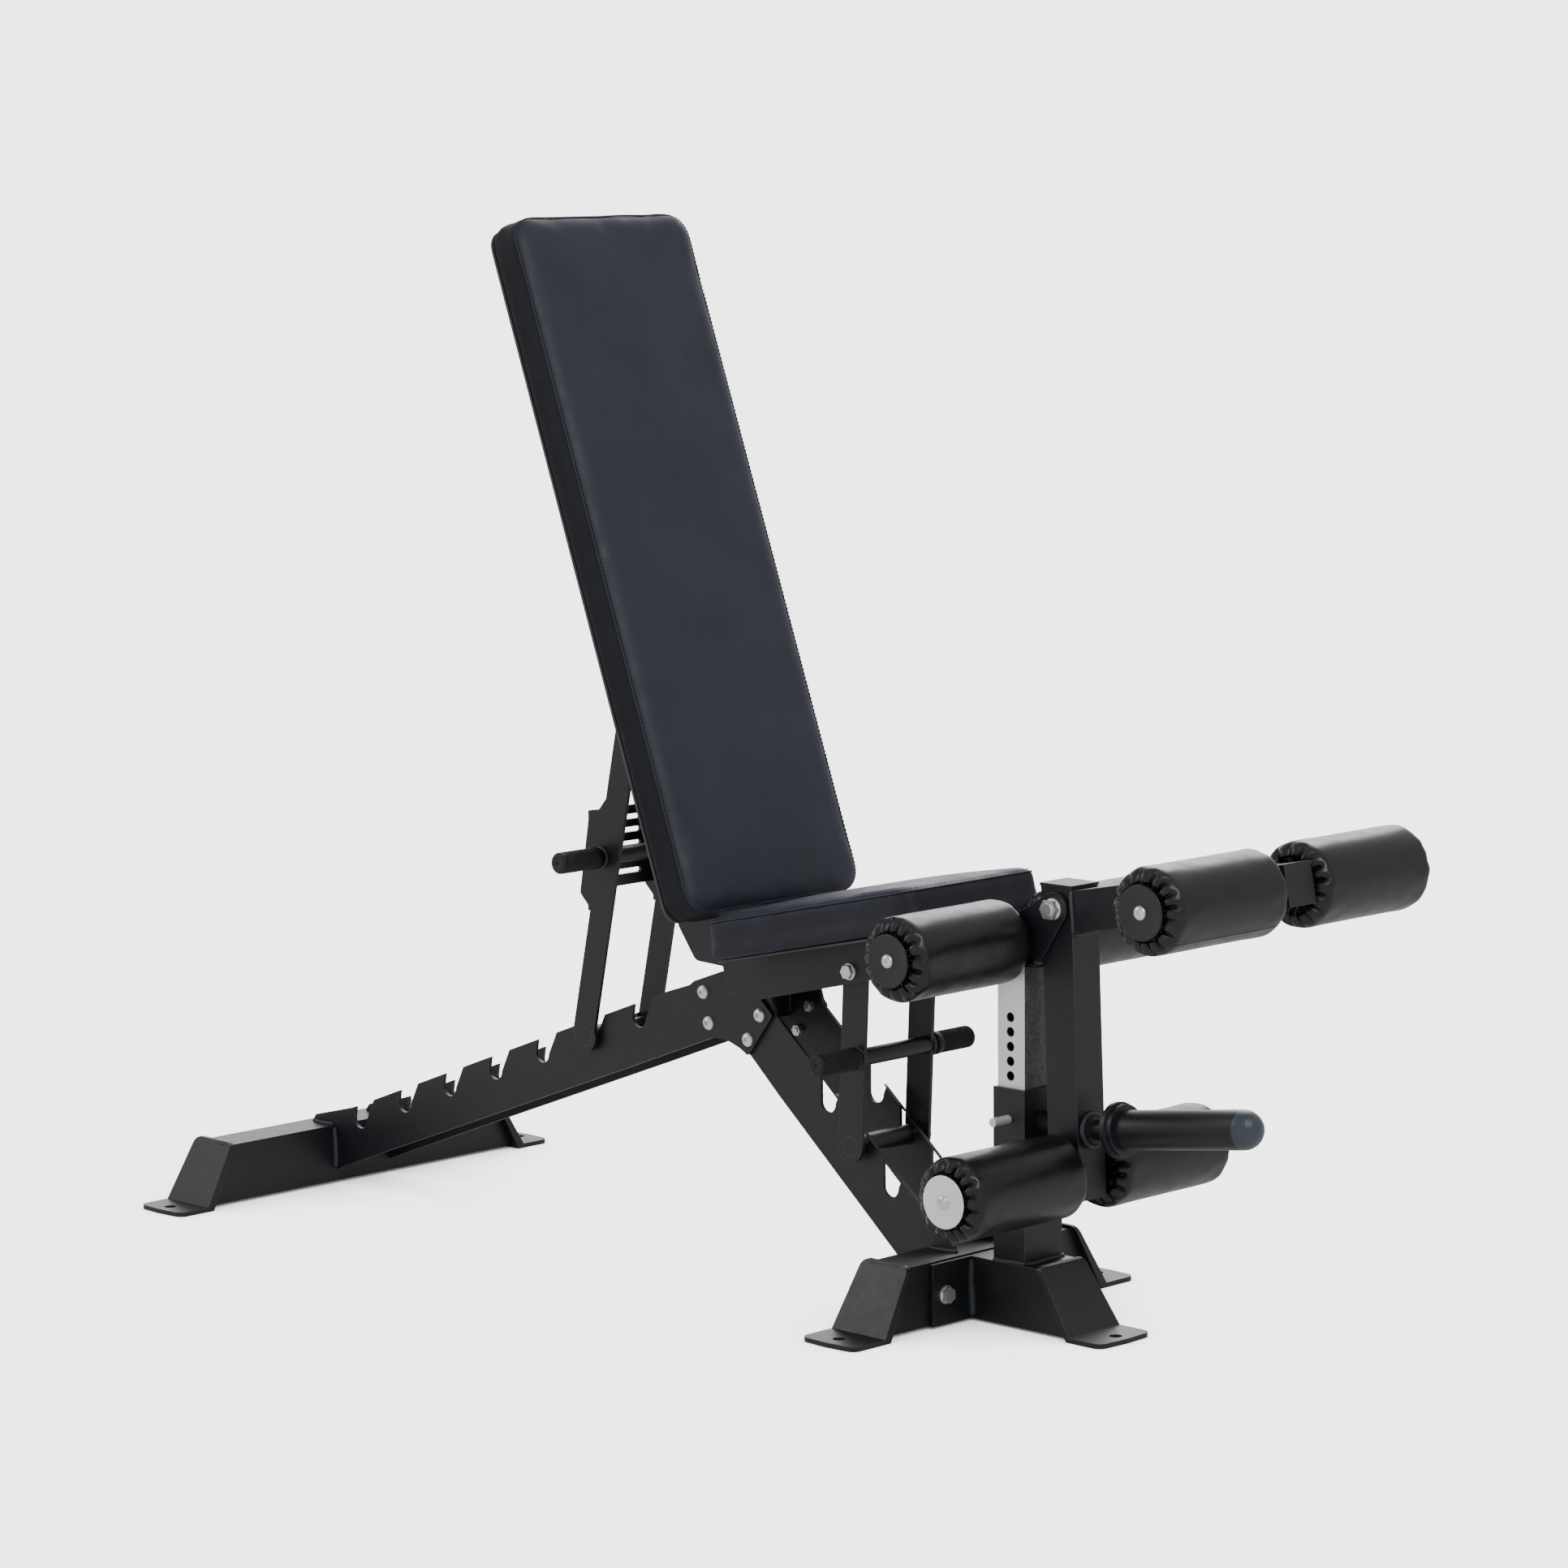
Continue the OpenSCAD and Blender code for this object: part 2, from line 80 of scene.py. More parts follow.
camera_data = bpy.data.cameras.new("camera")
camera_data.lens = 113.63
camera_data.sensor_width = 36.0
camera_data.shift_x = -0.0029
camera_data.shift_y = -0.0008
camera = bpy.data.objects.new("camera", camera_data)
bpy.context.scene.collection.objects.link(camera)
right, up, back = camera_axes(AZIMUTH, ELEVATION, ROLL)
turn = Matrix([[right[i], up[i], back[i], CAMERA_PLACE[i]] for i in range(3)] + [[0, 0, 0, 1]])
camera.matrix_world = turn
bpy.context.scene.camera = camera
print("camera at", CAMERA_PLACE, "lens", camera_data.lens)

# %% [markdown]
# ## Studio floor and lights
# Black steel shows only what it reflects. A broad key light stands high on the right, a
# rim light behind, and a high light on the left catches the sloping feet. The surround
# is brightest low behind the bench, so the flat tops mirror it at a glancing angle. The
# floor is pale to look at but gives little light back, which keeps the black steel deep.

# %% Floor, surround and lights
SURROUND_LIGHT = 0.62
BACKDROP_LIGHT = 3.0
SURROUND_SEEN = 4.0
FLOOR_GLOW = 0.42
FLOOR_SEEN = 3.5


def linear(hex_colour):
    """sRGB hex to linear RGB: c / 12.92 below 0.04045, else ((c + 0.055) / 1.055) ** 2.4."""
    c = np.array([int(hex_colour[i:i + 2], 16) for i in (1, 3, 5)]) / 255.0
    rgb = np.where(c <= 0.04045, c / 12.92, ((c + 0.055) / 1.055) ** 2.4)
    return (float(rgb[0]), float(rgb[1]), float(rgb[2]), 1.0)


def add_node(tree, kind, inputs=None, **settings):
    """Adds a shader node, sets its properties, and sets or links each named input."""
    node = tree.nodes.new(kind)
    for name, value in settings.items():
        setattr(node, name, value)
    for name, value in (inputs or {}).items():
        if isinstance(value, bpy.types.NodeSocket):
            tree.links.new(value, node.inputs[name])
        else:
            node.inputs[name].default_value = value
    return node


def new_material(name):
    """An empty node material with its output node: returns (material, tree, output)."""
    material = bpy.data.materials.new(name)
    material.use_nodes = True
    tree = material.node_tree
    tree.nodes.clear()
    output = tree.nodes.new("ShaderNodeOutputMaterial")
    return material, tree, output


def studio_floor():
    """A square 240 m pale sheet a hair below the feet. Its glow fades where something
    stands close above it, a painted contact shadow: strength = seen glow x (1 - nearness within 14 cm)."""
    mesh = bpy.data.meshes.new("studio_floor")
    s = 120.0
    z = -0.0004
    mesh.from_pydata([(-s, -s, z), (s, -s, z), (s, s, z), (-s, s, z)], [], [(0, 1, 2, 3)])
    floor = bpy.data.objects.new("studio_floor", mesh)
    bpy.context.scene.collection.objects.link(floor)
    material, tree, output = new_material("pale paper floor")
    # Painted contact shadow: ambient occlusion dims the floor's glow under and around the feet.
    painted_shadow_factor = add_node(tree, "ShaderNodeAmbientOcclusion", {"Distance": 0.14}, samples=8)
    seen = add_node(tree, "ShaderNodeLightPath")
    glow = add_node(tree, "ShaderNodeMapRange", {
        "Value": seen.outputs["Is Camera Ray"], "To Min": FLOOR_GLOW, "To Max": FLOOR_SEEN})
    shaded = add_node(tree, "ShaderNodeMath", {
        0: glow.outputs[0], 1: painted_shadow_factor.outputs["AO"]}, operation="MULTIPLY")
    paper = add_node(tree, "ShaderNodeBsdfPrincipled", {
        "Base Color": linear("#9c9c9c"), "Roughness": 0.9, "Specular IOR Level": 0.1,
        "Emission Color": linear("#ffffff"), "Emission Strength": shaded.outputs[0]})
    tree.links.new(paper.outputs[0], output.inputs[0])
    mesh.materials.append(material)


def area_light(name, place, aim, size, power):
    """A square soft light at place that faces the point aim."""
    data = bpy.data.lights.new(name, "AREA")
    data.shape = "SQUARE"
    data.size = size
    data.energy = power
    lamp = bpy.data.objects.new(name, data)
    bpy.context.scene.collection.objects.link(lamp)
    lamp.location = place
    direction = np.array(place, float) - np.array(aim, float)
    z = direction / np.linalg.norm(direction)
    x = np.cross([0.0, 0.0, 1.0], z)
    x = x / np.linalg.norm(x)
    y = np.cross(z, x)
    lamp.matrix_world = Matrix([[x[i], y[i], z[i], place[i]] for i in range(3)] + [[0, 0, 0, 1]])


studio_floor()
world = bpy.data.worlds.new("studio")
world.use_nodes = True
surround = world.node_tree.nodes["Background"]
surround.inputs["Color"].default_value = linear("#fdfdff")
sky = world.node_tree
towards = add_node(sky, "ShaderNodeVectorMath", {
    0: sky.nodes.new("ShaderNodeTexCoord").outputs["Generated"], 1: (-0.70, 0.70, 0.14)},
    operation="DOT_PRODUCT")
backdrop = add_node(sky, "ShaderNodeMapRange", {
    "Value": towards.outputs["Value"], "From Min": 0.80, "From Max": 0.97,
    "To Min": SURROUND_LIGHT, "To Max": BACKDROP_LIGHT})
seen = add_node(sky, "ShaderNodeLightPath")
strength = add_node(sky, "ShaderNodeMapRange", {
    "Value": seen.outputs["Is Camera Ray"], "To Min": backdrop.outputs[0], "To Max": SURROUND_SEEN})
sky.links.new(strength.outputs[0], surround.inputs["Strength"])
bpy.context.scene.world = world
area_light("key", (3.9, -1.2, 3.9), (0.1, 0.0, 0.6), 2.4, 95)
area_light("rim", (-1.8, 3.2, 3.6), (0.0, 0.0, 0.6), 2.5, 90)
area_light("left_high", (-3.0, -2.4, 2.7), (0.0, 0.0, 0.2), 1.8, 36)
area_light("low_front", (1.5, -4.6, 1.1), (0.2, 0.0, 0.4), 1.4, 8)

# %% [markdown]
# ## Powder-coated steel
# Powder coat is paint baked on from dust. It leaves a skin of fine bumps about half a
# millimetre across and a satin gloss. Thin bright lines along sharp edges are a painted
# highlight mixed into the colour. The bumps are noise in real millimetres, and the painted
# edge highlight comes from comparing the flat face with a slightly rounded copy of it.

# %% Finishes for metal


def coords(tree):
    """Object coordinates in metres, which stay with the part when it moves."""
    return tree.nodes.new("ShaderNodeTexCoord").outputs["Object"]


def grain(tree, size_mm, detail=2.0, roughness=0.5):
    """Noise whose blobs are about size_mm across: scale = 1000 / size_mm per metre."""
    return add_node(tree, "ShaderNodeTexNoise", {
        "Vector": coords(tree), "Scale": 1000.0 / size_mm, "Detail": detail, "Roughness": roughness})


def spread(tree, value, low, high, from_low=0.3, from_high=0.7):
    """Maps from_low..from_high onto low..high and clamps it."""
    return add_node(tree, "ShaderNodeMapRange", {
        "Value": value, "From Min": from_low, "From Max": from_high,
        "To Min": low, "To Max": high}).outputs[0]


def blend_colour(tree, factor, first, second):
    """first where factor is 0, second where it is 1. Either may be a colour or a socket."""
    mix = add_node(tree, "ShaderNodeMix", data_type="RGBA")
    for index, value in ((0, factor), (6, first), (7, second)):
        if isinstance(value, bpy.types.NodeSocket):
            tree.links.new(value, mix.inputs[index])
        else:
            mix.inputs[index].default_value = value
    return mix.outputs[2]


def rounded_normal(tree, radius_mm):
    """The face normal as if every sharp edge were rounded to radius_mm."""
    return add_node(tree, "ShaderNodeBevel", {"Radius": radius_mm / 1000.0}, samples=6).outputs[0]


def edge_mask(tree, radius_mm, low=0.02, high=0.2):
    """0 on flat faces, rising to 1 on sharp edges: 1 - (rounded normal . true normal)."""
    true = tree.nodes.new("ShaderNodeNewGeometry").outputs["True Normal"]
    dot = tree.nodes.new("ShaderNodeVectorMath")
    dot.operation = "DOT_PRODUCT"
    tree.links.new(rounded_normal(tree, radius_mm), dot.inputs[0])
    tree.links.new(true, dot.inputs[1])
    return spread(tree, dot.outputs["Value"], 1.0, 0.0, 1.0 - high, 1.0 - low)


def metal_finish(name, colour, second, roughness, metallic, bump_mm, bump_size, edge=None, coat=0.0):
    """A metal or painted metal: cloudy colour, grain in bump and roughness, rounded edges,
    and, where edge is given, a painted highlight along sharp edges.
    """
    material, tree, output = new_material(name)
    cloud = spread(tree, grain(tree, 60, 3).outputs[0], 0, 1)
    colour_now = blend_colour(tree, cloud, linear(colour), linear(second))
    if edge:
        # Painted highlight: a pale colour along sharp edges, patchy, standing in for the shine on the edges.
        patchy = spread(tree, grain(tree, 9, 3).outputs[0], 0.25, 1.0)
        painted_edge_highlight = add_node(tree, "ShaderNodeMath", {0: edge_mask(tree, 0.9), 1: patchy}, operation="MULTIPLY")
        colour_now = blend_colour(tree, painted_edge_highlight.outputs[0], colour_now, linear(edge))
    bump = add_node(tree, "ShaderNodeBump", {
        "Height": grain(tree, bump_size, 2).outputs[0], "Strength": 1.0, "Distance": bump_mm / 1000.0,
        "Normal": rounded_normal(tree, 0.8)})
    rough = spread(tree, grain(tree, 14, 4).outputs[0], roughness - 0.02, roughness + 0.04)
    paint = add_node(tree, "ShaderNodeBsdfPrincipled", {
        "Base Color": colour_now, "Metallic": metallic, "Roughness": rough, "Normal": bump.outputs[0],
        "Coat Weight": coat, "Coat Roughness": 0.25})
    tree.links.new(paint.outputs[0], output.inputs[0])
    return material


# Powder coat: near black with a blue cast, satin, with a pale painted highlight on the edges.
POWDER = metal_finish("powder-coated steel", "#111217", "#15161c", 0.42, 0.0, 0.05, 0.7, edge="#6d7479")
# Zinc plating on screws and nuts: bright, slightly blurred mirror.
ZINC = metal_finish("zinc-plated steel", "#d6d8d6", "#ececea", 0.28, 0.85, 0.01, 1.2)
# One end disc is brushed steel, so fine scratches make it look almost white.
BRIGHT = metal_finish("brushed bright steel", "#f0f0ee", "#fafaf8", 0.4, 0.3, 0.004, 2.0)
# The roller rods are dark and oily, and only show as thin glints.
DARK_STEEL = metal_finish("oiled dark steel", "#2b2c2e", "#3b3d3f", 0.34, 0.8, 0.006, 1.5)
# A weld bead under thin paint: greyer and rougher than the coat around it.
WELD = metal_finish("painted weld bead", "#24282c", "#3a3f43", 0.42, 0.1, 0.12, 1.4)
# The pull pin is turned steel with a satin skin.
SATIN_PIN = metal_finish("satin pin steel", "#e4e5e5", "#f6f6f6", 0.38, 0.4, 0.004, 2.0)
print("metal finishes:", [m.name for m in (POWDER, ZINC, BRIGHT, DARK_STEEL, WELD, SATIN_PIN)])

# %% [markdown]
# ## Leatherette, vinyl, rubber and plastic
# PU leatherette has a pebble grain of about one millimetre: small cells with creases
# between them. Roller vinyl is smoother and glossy, with soft puckers. Moulded rubber is
# nearly matt. Each is the same recipe with other numbers.

# %% Finishes for soft goods and plastic


def skin_finish(name, colour, second, roughness, cell_mm, crease_mm, pucker_mm, sheen=0.0, specular=0.5):
    """Cells of cell_mm with creases crease_mm deep, over soft puckers pucker_mm deep."""
    material, tree, output = new_material(name)
    cells = add_node(tree, "ShaderNodeTexVoronoi", {
        "Vector": coords(tree), "Scale": 1000.0 / cell_mm}, feature="DISTANCE_TO_EDGE")
    crease = spread(tree, cells.outputs["Distance"], 0.0, 1.0, 0.0, 0.16)
    fine = add_node(tree, "ShaderNodeBump", {
        "Height": crease, "Strength": 1.0, "Distance": crease_mm / 1000.0})
    soft = add_node(tree, "ShaderNodeBump", {
        "Height": grain(tree, 45, 1).outputs[0], "Strength": 1.0, "Distance": pucker_mm / 1000.0,
        "Normal": fine.outputs[0]})
    cloud = spread(tree, grain(tree, 120, 3).outputs[0], 0, 1)
    rough = spread(tree, grain(tree, 25, 4).outputs[0], roughness - 0.05, roughness + 0.08)
    hide = add_node(tree, "ShaderNodeBsdfPrincipled", {
        "Base Color": blend_colour(tree, cloud, linear(colour), linear(second)), "Roughness": rough,
        "Normal": soft.outputs[0], "Sheen Weight": sheen, "Sheen Roughness": 0.5,
        "Sheen Tint": linear("#8f9dbb"), "Specular IOR Level": specular})
    tree.links.new(hide.outputs[0], output.inputs[0])
    return material


# Leatherette face: charcoal with a blue cast and a soft grazing sheen.
LEATHERETTE = skin_finish(
    "charcoal PU leatherette", "#20222e", "#272937", 0.5, 1.3, 0.04, 0.35, sheen=0.04, specular=0.4)
# Side bands: the same cloth, darker than the face as painted shade on the sides turned from
# the light: black on the backrest, a little less dark on the seat.
# Painted shade: the band colours are darker than the face to stand in for the shade on the sides.
SHADED_SIDE_BAND = skin_finish("leatherette side band, painted shade", "#131419", "#181920", 0.58, 1.3, 0.04, 0.25, specular=0.22)
SHADED_SEAT_BAND = skin_finish(
    "leatherette seat band, painted shade", "#1b1c25", "#20212c", 0.54, 1.3, 0.04, 0.25, specular=0.34)
# Roller sleeves: smooth vinyl, whose gloss draws one long highlight on each barrel.
VINYL = skin_finish("glossy black vinyl", "#08080a", "#0e0e10", 0.33, 1.6, 0.010, 0.6)
# Grips and bumper: moulded rubber, nearly matt.
RUBBER = skin_finish("moulded rubber", "#0d0d0e", "#141415", 0.6, 2.5, 0.01, 0.1)
# Discs and tube caps: moulded plastic with a dull shine. The horn's cap is blue-grey.
PLASTIC = skin_finish("moulded plastic", "#15181b", "#1c1f23", 0.4, 2.0, 0.01, 0.05)
CAP_PLASTIC = skin_finish("blue-grey cap plastic", "#343c43", "#3e474f", 0.34, 2.0, 0.01, 0.05)
# Thread and backing board: grey and matt.
THREAD = skin_finish("bonded polyester thread", "#343842", "#3e424d", 0.5, 0.4, 0.05, 0.02)
BACKING = skin_finish("grey backing board", "#3a3b3c", "#4a4a4a", 0.7, 2.0, 0.03, 0.05)
SOFT = (LEATHERETTE, SHADED_SIDE_BAND, SHADED_SEAT_BAND, VINYL, RUBBER, PLASTIC, CAP_PLASTIC, THREAD, BACKING)
print("soft finishes:", [m.name for m in SOFT])

# %% [markdown]
# ## The sliding tube
# The tube that lifts the leg attachment is bare drawn steel. Two of its faces are painted
# dark grey with streaks, a painted reflection of the dark arm, while the other two stay bright.

# %% Sliding tube


def sliding_tube_finish():
    """Bright drawn steel whose front and back faces are painted dark as a reflection of the dark
    arm: the two colours are chosen by how far the face's own normal points along the bench."""
    material = metal_finish("drawn tube, painted dark reflection on two faces", "#eeefef", "#fafafa", 0.36, 0.3, 0.004, 2.0)
    tree = material.node_tree
    paint = next(n for n in tree.nodes if n.type == "BSDF_PRINCIPLED")
    light_side = paint.inputs["Base Color"].links[0].from_socket
    split = add_node(tree, "ShaderNodeSeparateXYZ", {
        "Vector": tree.nodes.new("ShaderNodeNewGeometry").outputs["True Normal"]})
    size = add_node(tree, "ShaderNodeMath", {0: split.outputs[0]}, operation="ABSOLUTE")
    # Painted reflection: faces that point along the bench get a streaked dark grey in place of the dark arm
    # they mirror.
    streak = spread(tree, grain(tree, 4, 3).outputs[0], 0.0, 0.35)
    dark = blend_colour(tree, streak, linear("#454749"), linear("#909294"))
    both = blend_colour(tree, spread(tree, size.outputs[0], 0, 1, 0.4, 0.6), light_side, dark)
    tree.links.new(both, paint.inputs["Base Color"])
    return material


SLIDING_TUBE = sliding_tube_finish()
print("sliding tube finish:", SLIDING_TUBE.name)

# %% [markdown]
# ## Dressing the frame
# The steel parts already have their true shapes, so they only get a finish. One table
# gives the finish of each kind of part, a second one names the parts that differ, and a
# loop dresses all of them.

# %% Finish of each frame part
FINISH = {
    "zinc": ZINC, "rubber": RUBBER, "leatherette": LEATHERETTE, "roller_vinyl": VINYL,
    "black_plastic": PLASTIC, "powder_black": POWDER, "bright_steel": BRIGHT}
SLOT_OF = {row["node"]: row["material_slot"] for row in frame["record"]["subparts"]}
OTHER = {
    "inner_tube": SLIDING_TUBE, "pull_pin": SATIN_PIN, "horn_sleeve": POWDER, "horn_cap": CAP_PLASTIC,
    "rear_prop_bar": POWDER, "seat_prop_bar": POWDER, "thigh_rod": DARK_STEEL, "arm_rods": DARK_STEEL,
    "back_board": BACKING, "seat_board": BACKING}
for part, thing in frame["nodes"].items():
    finish = OTHER.get(part, FINISH[SLOT_OF[part]])
    if not thing.material_slots:
        thing.data.materials.append(finish)
    for place in thing.material_slots:
        place.material = finish
print("dressed parts:", len(frame["nodes"]))

# %% [markdown]
# ## Making surfaces from numbers
# Every new piece is a grid of points: rows follow one direction of the surface and
# columns the other. Joining the last row to the first closes a ring. A turned piece
# (roller, grip, screw head) is a profile carried round an axis, and a weld or a seam is a
# small circle carried along a path.

# %% Grid helpers


def grid_piece(name, points, finish, body, close_rows=False, close_columns=False, caps=False):
    """Mesh of an (m, n, 3) array of points. Quads join each point to the next row and
    column, wrapping where closed; caps fill the first and last row with one face each."""
    m, n, _ = points.shape
    rows = np.arange(m if close_rows else m - 1)
    columns = np.arange(n if close_columns else n - 1)
    i, j = np.meshgrid(rows, columns, indexing="ij")
    i2 = (i + 1) % m
    j2 = (j + 1) % n
    quads = np.stack([i * n + j, i2 * n + j, i2 * n + j2, i * n + j2], axis=-1).reshape(-1, 4)
    faces = quads.tolist()
    if caps:
        faces.append(list(range(n)))
        faces.append(list(range((m - 1) * n, m * n))[::-1])
    mesh = bpy.data.meshes.new(name)
    mesh.from_pydata(points.reshape(-1, 3).tolist(), [], faces)
    return finish_mesh(name, mesh, finish, body)


def finish_mesh(name, mesh, finish, body):
    """Merges doubles, turns the faces outwards, shades, colours and mounts the piece."""
    work = bmesh.new()
    work.from_mesh(mesh)
    bmesh.ops.remove_doubles(work, verts=work.verts, dist=1e-6)
    bmesh.ops.recalc_face_normals(work, faces=work.faces)
    work.to_mesh(mesh)
    work.free()
    mesh.polygons.foreach_set("use_smooth", [True] * len(mesh.polygons))
    mesh.materials.append(finish)
    piece = bpy.data.objects.new(name, mesh)
    bpy.context.scene.collection.objects.link(piece)
    if body:
        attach(piece, body)
    return piece


def turned_points(along, radius, start, axis, around=64, wobble=None):
    """A profile turned about an axis: start + along * axis + radius * (cos t u + sin t v).
    wobble(along, t, radius) gives what is added to the place along the axis and to the
    radius."""
    axis = np.array(axis, float) / np.linalg.norm(axis)
    helper = np.array([0.0, 0.0, 1.0]) if abs(axis[2]) < 0.9 else np.array([1.0, 0.0, 0.0])
    u = np.cross(axis, helper)
    u = u / np.linalg.norm(u)
    v = np.cross(axis, u)
    t = np.linspace(0, 2 * math.pi, around, endpoint=False)
    a, tt = np.meshgrid(np.array(along, float), t, indexing="ij")
    r = np.array(radius, float)[:, None] + np.zeros_like(tt)
    if wobble is not None:
        shift, growth = wobble(a, tt, r)
        a = a + shift
        r = r + growth
    ring = np.cos(tt)[..., None] * u + np.sin(tt)[..., None] * v
    return np.array(start, float) + a[..., None] * axis + r[..., None] * ring


def tube_points(path, radius, around=10, closed=False):
    """A circle carried along a path: centre + radius * (cos t a + sin t b), where a and b
    are square to the path's direction. radius may change from point to point."""
    path = np.array(path, float)
    ahead = np.roll(path, -1, axis=0) - np.roll(path, 1, axis=0)
    if not closed:
        ahead[0] = path[1] - path[0]
        ahead[-1] = path[-1] - path[-2]
    ahead = ahead / np.linalg.norm(ahead, axis=1, keepdims=True)
    helper = np.where(np.abs(ahead[:, 1:2]) < 0.8, [[0.0, 1.0, 0.0]], [[1.0, 0.0, 0.0]])
    a = np.cross(ahead, helper)
    a = a / np.linalg.norm(a, axis=1, keepdims=True)
    b = np.cross(ahead, a)
    t = np.linspace(0, 2 * math.pi, around, endpoint=False)
    r = np.broadcast_to(np.array(radius, float), (len(path),))
    ring = np.cos(t)[None, :, None] * a[:, None, :] + np.sin(t)[None, :, None] * b[:, None, :]
    return path[:, None, :] + r[:, None, None] * ring


def smoothstep(x, low, high):
    """0 below low, 1 above high, 3x^2 - 2x^3 between."""
    q = np.clip((x - low) / (high - low), 0, 1)
    return q * q * (3 - 2 * q)


print("grid helpers ready")

# %% [markdown]
# ## Foam rollers
# A roller is a foam tube in a vinyl sleeve. The sleeve is sewn along its length, and its
# ends are drawn together over the foam under a disc, which gathers the vinyl into a ring
# of plump pleats with sharp creases between. Each crease sinks along the surface's own
# normal: along the axis on the flat end, and towards the axis on the shoulder.

# %% Rollers
ROLLER_RADIUS = 0.0512
SHOULDER_RADIUS = 0.017
BORE_RADIUS = 0.0129
PLEATS = 16
CREASE_DEPTH = 0.0072


def roller(name, body, centre, y_in, y_out, phase):
    """Closed ring: bore, end face, rounded shoulder, barrel, and back. A crease lies
    wherever |cos(PLEATS t / 2)| is 0; a dip along the barrel is the seam."""
    side = 1.0 if y_out > y_in else -1.0
    length = abs(y_out - y_in)
    outer = ROLLER_RADIUS
    turn_r = SHOULDER_RADIUS
    q = np.linspace(0, math.pi / 2, 12)
    barrel = np.linspace(turn_r, length - turn_r, 46)[1:-1]
    low_face = np.linspace(0.0145, outer - turn_r, 13)
    dish = 0.0010 + 0.0045 * smoothstep(low_face, 0.034, 0.02)
    along = np.concatenate([
        dish, turn_r - turn_r * np.cos(q), barrel, length - turn_r + turn_r * np.sin(q),
        length - dish[::-1], np.linspace(length - 0.006, 0.006, 6)])
    radius = np.concatenate([
        low_face, outer - turn_r + turn_r * np.sin(q), np.full(len(barrel), outer),
        outer - turn_r + turn_r * np.cos(q), low_face[::-1], np.full(6, BORE_RADIUS)])

    def wobble(a, t, r):
        near_end = np.minimum(a, length - a)
        outward = np.clip((r - outer + turn_r) / turn_r, 0, 1)
        lengthwise = np.sqrt(1 - outward ** 2) * np.where(a < length / 2, 1.0, -1.0)
        gather = smoothstep(r, 0.022, 0.033) * smoothstep(-near_end, -0.0120, -0.002)
        uneven = 1 + 0.22 * np.sin(3 * t + phase) + 0.16 * np.sin(7 * t + 2 * phase)
        fold = np.abs(np.cos(PLEATS * t / 2 + 0.5 * np.sin(3 * t + phase))) ** 0.7
        crease = CREASE_DEPTH * gather * uneven * (1 - fold)
        pucker = 0.0004 * np.sin(9 * t + phase + 60 * a) * smoothstep(-near_end, -0.06, -0.02)
        belly = 0.0005 * np.sin(2 * t + phase) * np.sin(a * math.pi / length)
        off = (t - 1.3 - phase * 0.7 + math.pi) % (2 * math.pi) - math.pi
        seam = 0.0004 * np.exp(-((np.abs(off) - 0.05) / 0.025) ** 2) - 0.0009 * np.exp(-(off / 0.018) ** 2)
        solid = np.where(r > 0.02, 1.0, 0.0)
        return solid * crease * lengthwise, solid * (pucker + belly + seam - crease * outward)

    points = turned_points(along, radius, (centre[0], y_in, centre[1]), (0, side, 0), 312, wobble)
    return grid_piece(name, points, VINYL, body, close_rows=True, close_columns=True)


ROLLERS = {
    "thigh": ((1.2938 - X_SHIFT, 0.4748), 0.036, 0.236), "low": ((1.380 - X_SHIFT, 0.1990), 0.029, 0.235),
    "fore": ((1.6813 - X_SHIFT, 0.573), 0.029, 0.235)}
for number, (place, (centre, y_in, y_out)) in enumerate(ROLLERS.items()):
    for side, sign in (("near", -1), ("far", 1)):
        node_name = f"roller_{place}_{side}"
        made = roller(
            "sleeve_" + place + "_" + side, node_name, centre, sign * y_in, sign * y_out,
            number + sign * 0.4)
        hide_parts(node_name)
print("rollers made:", 2 * len(ROLLERS))

# %% [markdown]
# ## End discs and their screws
# Each rod ends in a pressed disc that holds the sleeve, with a domed socket screw in the
# middle. Both are turned profiles. One disc is bright steel, the others are black.

# %% Discs, screws and the grips


def end_disc(name, body, centre, y, side, finish):
    """A disc 3 mm thick with a rolled rim and a shallow dish."""
    along = np.array([0.0, 0.0002, 0.0012, 0.0024, 0.0030, 0.0028, 0.0020, 0.0020, 0.0020]) + 0.0002
    radius = np.array([0.001, 0.0305, 0.0318, 0.0318, 0.0308, 0.0290, 0.0255, 0.010, 0.001])
    points = turned_points(along, radius, (centre[0], y, centre[1]), (0, side, 0), 72)
    return grid_piece(name, points, finish, body, close_columns=True, caps=True)


def socket_screw(name, body, centre, y, side):
    """A domed head 17 mm across: rim, quarter-round crown, and a six-sided socket."""
    q = np.linspace(0, 1, 9)
    crown_r = 0.0085 * np.cos(q * 1.12)
    crown_a = 0.0010 + 0.0044 * np.sin(q * 1.12) / math.sin(1.12)
    along = np.concatenate([[0.0], crown_a, [0.0054, 0.0030, 0.0030]])
    radius = np.concatenate([[0.0085], crown_r, [0.0030, 0.0030, 0.0003]])

    def six(a, t, r):
        flat = np.cos(math.pi / 6) / np.cos((t % (math.pi / 3)) - math.pi / 6)
        return 0.0, np.where(r < 0.0031, r * (flat - 1), 0.0)

    points = turned_points(along, radius, (centre[0], y, centre[1]), (0, side, 0), 48, six)
    return grid_piece(name, points, ZINC, body, close_columns=True, caps=True)


